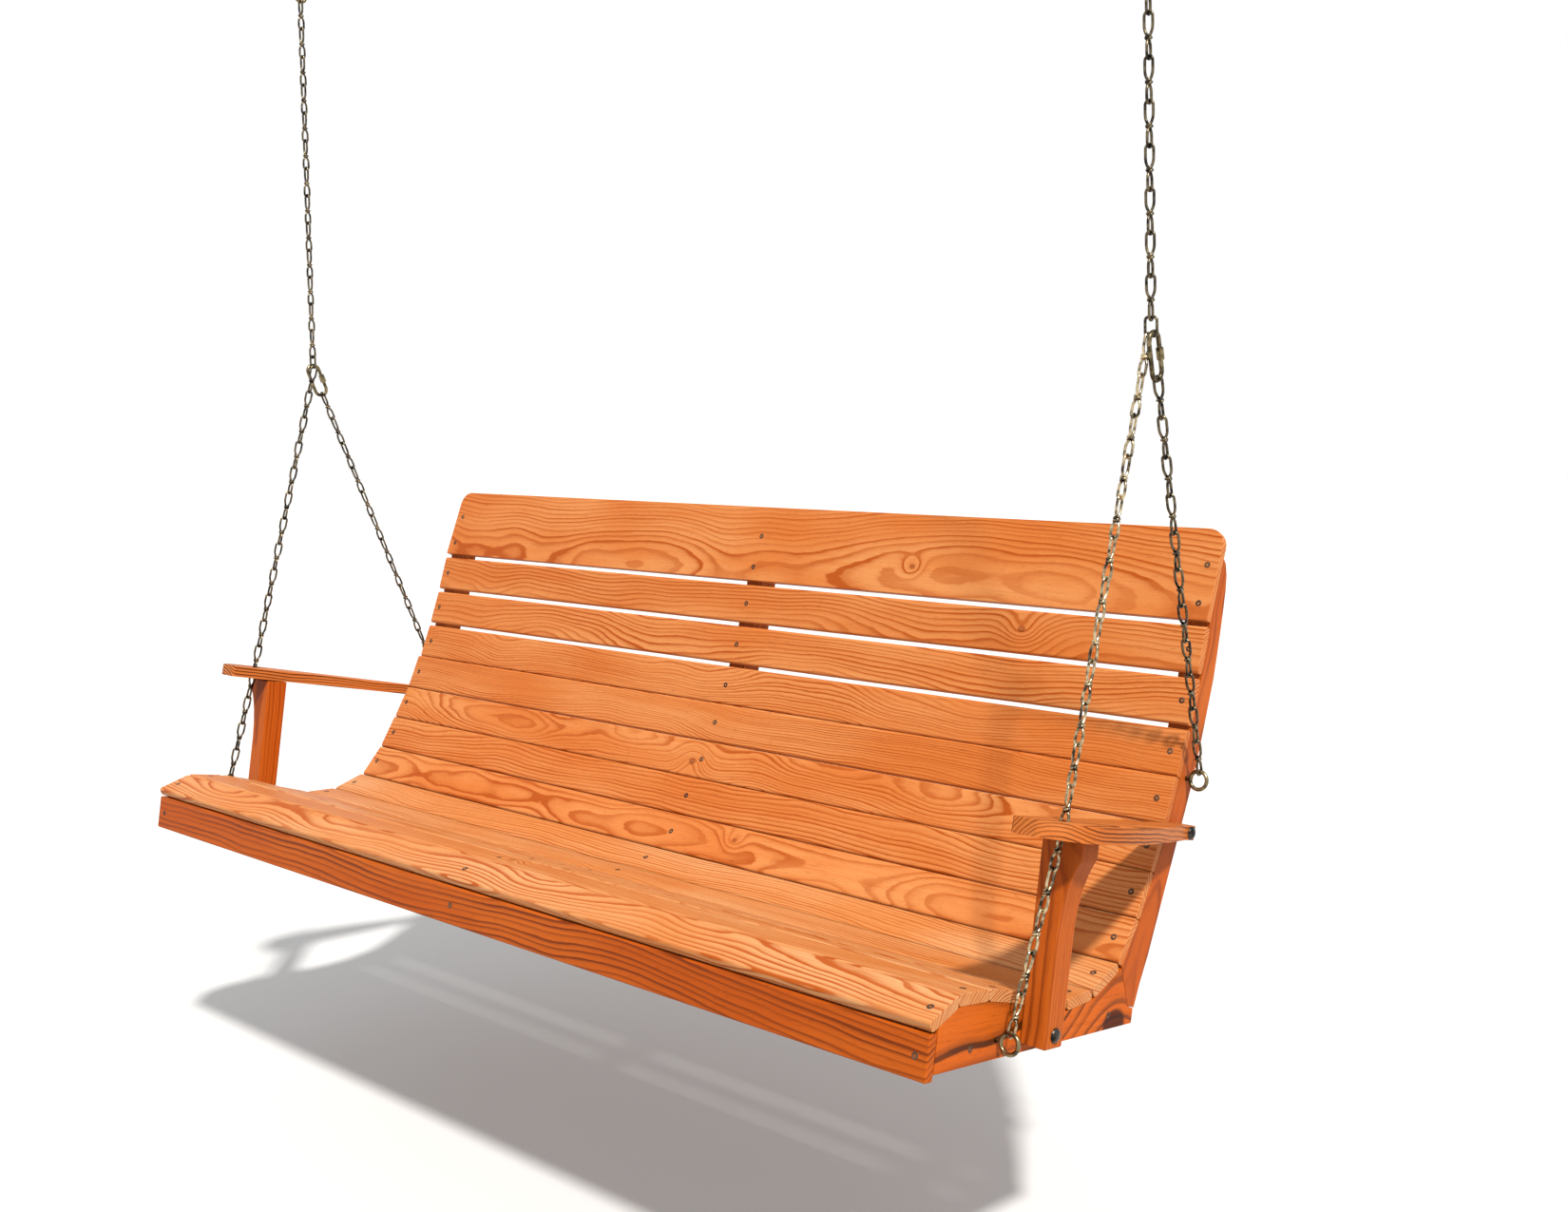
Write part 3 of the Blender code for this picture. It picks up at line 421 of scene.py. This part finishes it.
def chain_loops(path, u, seed, pitch=0.0505):
    """Links from one end of the path to the other, each hooked in the next."""
    rng = random.Random(seed)
    path = [Vector(p) for p in path]
    length = sum((b - a).length for a, b in zip(path, path[1:]))
    lap = 2 * WIRE
    count = max(1, round((length - lap) / pitch))
    pitch = (length - lap) / count
    loops = []
    for i in range(count):
        top = along_path(path, i * pitch)
        bottom = along_path(path, min(length, (i + 1) * pitch + lap))
        loops.append((double_loop(top, bottom, u, rng), True))
    return loops


def oblong(centre, u, v, half_w, length, corner, steps=6):
    u, v = Vector(u).normalized(), Vector(v).normalized()
    pts = []
    for k, (sx, sy) in enumerate(((1, 1), (-1, 1), (-1, -1), (1, -1))):
        for i in range(steps + 1):
            a = math.pi / 2 * (k + i / steps)
            pts.append(Vector(centre) + u * (sx * (half_w - corner) + corner * math.cos(a)) + v * (sy * (length / 2 - corner) + corner * math.sin(a)))
    return pts


EYE_TOP = Vector((0, math.sin(TILT), math.cos(TILT))) * 0.0130
arm_top_rear = Vector((0, 0.4860, 0.1882))
p = math.radians(2.9)
hole = arm_top_rear + Vector((0, -math.cos(p), math.sin(p))) * 0.3610 - Vector((0, math.sin(p), math.cos(p))) * 0.01015

for side, s in (("left", -1), ("right", 1)):
    hang = Vector((s * HANG_X, 0, PIVOT_Z))
    apex = Vector((s * APEX_X, 0, APEX_Z))
    down = (apex - hang).normalized()
    rod_r, hook_wire = 0.0040, 0.0028
    r = 0.0105
    # S hook
    upper = hang + down * (r - rod_r - hook_wire - 0.0004)
    lower = hang + down * (0.0500 - r)
    y = Vector((0, 1, 0))
    a_pts = [upper - y * (r * math.cos(t)) - down * (r * math.sin(t)) for t in [math.radians(-60 + 10.4 * i) for i in range(26)]]
    b_pts = [lower + y * (r * math.cos(t)) + down * (r * math.sin(t)) for t in [math.radians(-60 + 10.4 * i) for i in range(26)]]
    wire_object(f"{side}_top_hook_look", [(a_pts + b_pts[::-1], False)], hook_wire, zinc_mat, [f"{side}_top_hook"], "upper_chains")
    # upper run: links, then one broad link at the apex
    start = lower + down * (r - hook_wire - WIRE - 0.0004)
    broad_len = 0.0235
    broad_top = apex - down * broad_len
    loops = chain_loops([start, broad_top + down * 2 * WIRE], Vector((1, 0, 0)), 11 + s)
    loops.append((oblong(apex - down * broad_len / 2, (1, 0, 0), down, 0.0084, broad_len, 0.0045), True))
    wire_object(f"{side}_upper_chain_links", loops, WIRE, chain_shade_mat, [f"{side}_upper_chain"], "upper_chains")
    # front run
    ring_f = Vector((s * (HALF + 0.0200), *hung(0.0856, -0.0662)))
    ring_r = Vector((s * (HALF + 0.0200), *hung(0.4962, 0.2515)))
    mid = Vector((s * (HALF + 0.0370), *hung(hole.y, hole.z)))
    first, last = (mid - apex).normalized(), (ring_f - mid).normalized()
    top_f = apex + Vector((-s * 0.0042, 0, 0)) - first * 0.0039
    end_f = ring_f + EYE_TOP + last * 0.0052
    wire_object(f"{side}_front_chain_links", chain_loops([top_f, mid, end_f], Vector((0, 1, 0)), 21 + s), WIRE, chain_lit_mat if s > 0 else chain_shade_mat,
                [f"{side}_front_chain"], "bench")
    # quick link and rear run
    towards = (ring_r - apex).normalized()
    q_len, q_half, q_wire = 0.0610, 0.0120, 0.0031
    q_top = apex + Vector((s * 0.0030, 0, 0)) - towards * (0.0017 + q_wire + 0.0004)
    across = Vector((1, 0, 0)).cross(towards).normalized()
    q_mid = q_top + towards * q_len / 2
    wire_object(f"{side}_quick_link_look", [(oblong(q_mid, across, towards, q_half, q_len, q_half * 0.98, 9), True)], q_wire, zinc_mat,
                [f"{side}_quick_link"], "bench", 4)
    refined(f"{side}_quick_link_nut", zinc_mat, 0.0007, 2, 35)
    r_top = q_top + towards * (q_len - q_wire - 0.0021)
    back = (ring_r - r_top).normalized()
    wire_object(f"{side}_rear_chain_links", chain_loops([r_top, ring_r + EYE_TOP + back * 0.0052], Vector((1, 0, 0)), 31 + s), WIRE, chain_shade_mat,
                [f"{side}_rear_chain"], "bench")


# ---- screws ---------------------------------------------------------------
def add_screw(bm, place, normal, turn, head=0.0036, ring=0.0047):
    """A countersunk cross-head screw in its dark sink, on the surface at `place`."""
    normal = Vector(normal).normalized()
    u = normal.orthogonal().normalized()
    u = u * math.cos(turn) + normal.cross(u) * math.sin(turn)
    v = normal.cross(u)

    def at(x, y, z):
        return bm.verts.new(Vector(place) + u * x + v * y + normal * z)

    n = 20
    rims = []
    for rad, z in ((ring, -0.0006), (ring, 0.00010), (ring * 0.93, 0.00022), (head * 1.03, 0.00005), (head, 0.00012), (head * 0.90, 0.00034)):
        rims.append([at(rad * math.cos(2 * math.pi * i / n), rad * math.sin(2 * math.pi * i / n), z) for i in range(n)])
    for k, (a, b) in enumerate(zip(rims, rims[1:])):
        for i in range(n):
            f = bm.faces.new((a[i], a[(i + 1) % n], b[(i + 1) % n], b[i]))
            f.material_index = 1 if k < 3 else 0
            f.smooth = True
    t, e = head * 0.20, head * 0.66
    plus = [(e, -t), (e, t), (t, t), (t, e), (-t, e), (-t, t), (-e, t), (-e, -t), (-t, -t), (-t, -e), (t, -e), (t, -t)]
    top = [at(x, y, 0.00038) for x, y in plus]
    low = [at(x * 0.7, y * 0.7, -0.0004) for x, y in plus]
    edges_out = [bm.edges.get((rims[-1][i], rims[-1][(i + 1) % n])) for i in range(n)]
    edges_in = [bm.edges.new((top[i], top[(i + 1) % 12])) for i in range(12)]
    bmesh.ops.bridge_loops(bm, edges=edges_out + edges_in)
    for i in range(12):
        f = bm.faces.new((top[i], top[(i + 1) % 12], low[(i + 1) % 12], low[i]))
        f.material_index = 1
    f = bm.faces.new(low)
    f.material_index = 1
    return bm


def screws(name, places):
    rng = random.Random(len(places) * 7 + 1)
    bm = bmesh.new()
    for place, normal in places:
        add_screw(bm, place, normal, rng.uniform(0, 3))
    bmesh.ops.recalc_face_normals(bm, faces=bm.faces)
    mesh = bpy.data.meshes.new(name)
    bm.to_mesh(mesh)
    bm.free()
    mesh.materials.append(screw_mat)
    mesh.materials.append(sink_mat)
    obj = bpy.data.objects.new(name, mesh)
    return link_in(obj, [], "bench")


def on_face(node, x, share):
    """A point of the board's show face at this X, `share` of the way across its width from the lower edge."""
    face = show_face(node)
    wide = X.cross(face)
    if wide.z + wide.y < 0:
        wide = -wide
    mesh = NODES[node].data
    across = [v.co.dot(wide) for v in mesh.vertices]
    out = max(v.co.dot(face) for v in mesh.vertices)
    w = min(across) + (max(across) - min(across)) * share
    return Vector((x, 0, 0)) + wide * w + face * out, face


seat_places, back_places, side_places = [], [], []
for node in sorted(NODES):
    if node.startswith("seat_slat") or node == "front_apron":
        for i, x in enumerate(SUPPORT_X):
            seat_places.append(on_face(node, x + 0.002 * ((len(node) + i) % 3 - 1), 0.5 if node != "seat_slat_1" else 0.45))
    elif node.startswith("back_slat"):
        for i, x in enumerate(SUPPORT_X):
            back_places.append(on_face(node, x + 0.002 * ((int(node[-1]) + i) % 3 - 1), 0.5))
    elif node == "top_board":
        for x in SUPPORT_X:
            back_places.append(on_face(node, x, 0.18))
            back_places.append(on_face(node, x + 0.001, 0.60))
for s in (-1, 1):
    for y_b, z_b in ((0.0331, -0.0699), (0.3506, -0.0704)):
        side_places.append((Vector((s * HALF, *hung(y_b, z_b))), Vector((s, 0, 0))))
screws("seat_screws", seat_places)
screws("back_screws", back_places)
screws("side_screws", side_places)

# ---- floor, light, camera -------------------------------------------------
floor_z = cad_box[0][2] - 0.42
bm = bmesh.new()
bmesh.ops.create_grid(bm, x_segments=4, y_segments=4, size=30)
mesh = bpy.data.meshes.new("floor")
bm.to_mesh(mesh)
bm.free()
floor = bpy.data.objects.new("floor", mesh)
floor.location = (0, 0, floor_z)
bpy.context.scene.collection.objects.link(floor)
mat, t, shader = new_material("floor_pale")
n = t.noise(t.n("ShaderNodeTexCoord").outputs["Object"], 3.0, 2.0)
t.t.links.new(t.mix(t.m("MULTIPLY", n, 0.04), (0.47, 0.47, 0.47), (0.44, 0.44, 0.44)), shader.inputs["Base Color"])
shader.inputs["Roughness"].default_value = 0.9
mesh.materials.append(mat)

world = bpy.data.worlds.new("studio")
world.use_nodes = True
world.node_tree.nodes["Background"].inputs[0].default_value = (1.0, 1.0, 1.0, 1)
world.node_tree.nodes["Background"].inputs[1].default_value = 1.0
bpy.context.scene.world = world
bpy.context.scene.view_settings.view_transform = "Standard"


light = bpy.data.lights.new("key", "SUN")
light.energy, light.angle, light.color = 5.9, math.radians(4.0), (1.0, 0.975, 0.93)
key = bpy.data.objects.new("key", light)
key.rotation_euler = Vector((-0.54, 0.32, -0.78)).to_track_quat("-Z", "Y").to_euler()
key.location = (6, -4, 6)
bpy.context.scene.collection.objects.link(key)

az, el, ro = math.radians(37.4449), math.radians(8.6816), math.radians(0.3727)
b = Vector((math.sin(az) * math.cos(el), -math.cos(az) * math.cos(el), math.sin(el)))
right = Vector((math.cos(az), math.sin(az), 0))
up = b.cross(right)
r_ = right * math.cos(ro) + up * math.sin(ro)
u_ = up * math.cos(ro) - right * math.sin(ro)
cam_data = bpy.data.cameras.new("camera")
cam_data.sensor_width = 36.0
cam_data.lens = 36.0 * 1594.69 / 1650
cam_data.shift_x = (825 - 998.47) / 1650
cam_data.shift_y = (698.57 - 637.5) / 1650
cam_data.clip_end = 200
cam = bpy.data.objects.new("camera", cam_data)
m = Matrix((r_, u_, b)).transposed().to_4x4()
m.translation = Vector((1.92976, -1.35196 + CREST[0], 0.64796 + CREST[1] + APEX_Z))
cam.matrix_world = m
bpy.context.scene.collection.objects.link(cam)
bpy.context.scene.camera = cam

bpy.context.view_layer.update()
